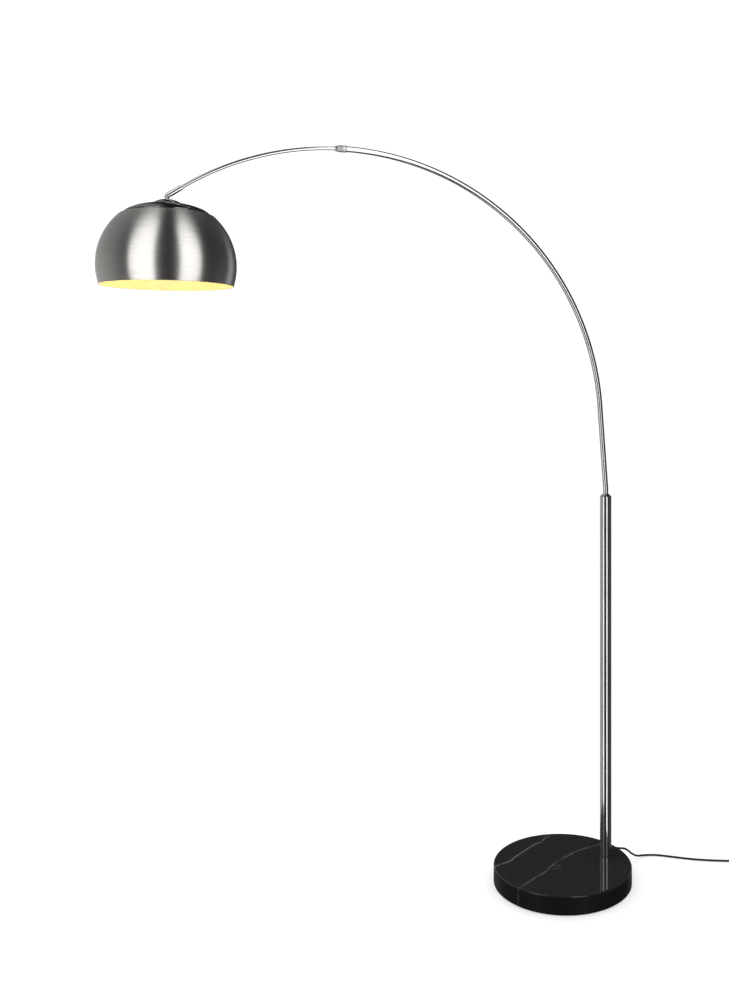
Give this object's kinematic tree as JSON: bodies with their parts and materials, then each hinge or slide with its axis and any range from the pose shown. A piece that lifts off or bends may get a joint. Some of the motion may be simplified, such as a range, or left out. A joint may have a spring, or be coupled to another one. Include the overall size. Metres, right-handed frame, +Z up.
{
  "type": "arc floor lamp",
  "caption": "Arc floor lamp: stone disc base, chrome pole, telescoping arched tube with a twist collar and a domed metal shade that tilts on a knuckle; mains cord with foot switch and plug.",
  "frame": {"origin": "centre of the base's underside, on the floor", "axes": "+Z up the pole; the arm's plane is XZ, the shade is toward -X and the pole stands on the +X side of the base; +Y is the side facing away from a viewer who has the shade on the left"},
  "size_m": [1.6007, 0.3366, 1.7225],
  "materials": {
    "black_marble": "polished",
    "black_felt": "matte",
    "polished_chrome": "polished",
    "zinc_steel": "satin",
    "white_nylon": "matte",
    "black_rubber": "matte",
    "cord_sheath": "satin",
    "switch_plastic": "satin",
    "mechanism_plastic": "matte",
    "plug_plastic": "satin",
    "nickel_brass": "polished",
    "inner_lead": "satin",
    "knurled_nickel": "satin",
    "black_gloss": "gloss",
    "brushed_nickel": "satin",
    "holder_plastic": "satin",
    "bulb_opal_glass": "gloss",
    "bulb_metal": "satin",
    "button_plastic": "satin"
  },
  "bodies": {
    "base": {"marble_base": "black_marble", "felt_pad": "black_felt", "pole_tube": "polished_chrome", "pole_foot_insert": "zinc_steel", "base_bolt": "zinc_steel", "base_washer": "zinc_steel", "base_lock_washer": "zinc_steel", "pole_top_cap": "polished_chrome", "swivel_bush": "white_nylon", "cord_gland": "black_rubber", "pole_wire": "cord_sheath", "mains_cord": "cord_sheath", "switch_tail_cord": "cord_sheath", "cord_coil": "cord_sheath", "plug_lead": "cord_sheath", "foot_switch_lower": "switch_plastic", "foot_switch_upper": "switch_plastic", "foot_switch_mechanism": "mechanism_plastic", "foot_switch_screws": "zinc_steel", "plug_body": "plug_plastic", "plug_pins": "nickel_brass"},
    "lower_arm": {"lower_arc_tube": "polished_chrome", "locking_collet": "white_nylon", "lower_arm_wire": "inner_lead"},
    "collar": {"lock_collar": "knurled_nickel"},
    "upper_arm": {"upper_arc_tube": "polished_chrome", "guide_bush": "white_nylon", "knuckle_fork": "polished_chrome", "knuckle_pin": "zinc_steel", "upper_arm_wire": "inner_lead"},
    "shade_head": {"knuckle_stem": "polished_chrome", "cap_dome": "black_gloss", "cap_ring": "black_gloss", "shade": "brushed_nickel", "shade_washer": "zinc_steel", "shade_nut": "zinc_steel", "lampholder_cap": "holder_plastic", "lampholder_body": "holder_plastic", "screw_shell": "nickel_brass", "centre_contact": "nickel_brass", "shade_wire": "inner_lead", "bulb_glass": "bulb_opal_glass", "bulb_cap": "bulb_metal", "bulb_contact": "bulb_metal"},
    "switch_button": {"foot_switch_button": "button_plastic"}
  },
  "joints": [
    {"name": "arm_swivel", "type": "hinge", "parent": "base", "child": "lower_arm", "pos_m": [0.114, 0, 0.9], "axis": [0, 0, 1], "range_deg": [-170, 170]},
    {"name": "collar_twist", "type": "hinge", "parent": "lower_arm", "child": "collar", "pos_m": [-0.53599, 0, 1.71441], "axis": [-0.9999, 0, -0.0168], "range_deg": [0, 150]},
    {"name": "arm_extend", "type": "hinge", "parent": "lower_arm", "child": "upper_arm", "pos_m": [-0.5255, 0, 1.0885], "axis": [0, 1, 0], "range_deg": [-5, 20]},
    {"name": "shade_tilt", "type": "hinge", "parent": "upper_arm", "child": "shade_head", "pos_m": [-0.9035, 0, 1.5887], "axis": [0, 1, 0], "range_deg": [-30, 30]},
    {"name": "foot_switch_press", "type": "slide", "parent": "base", "child": "switch_button", "axis": [0, 0, 1], "range_m": [-0.0025, 0], "stiffness_N_per_m": 600}
  ]
}
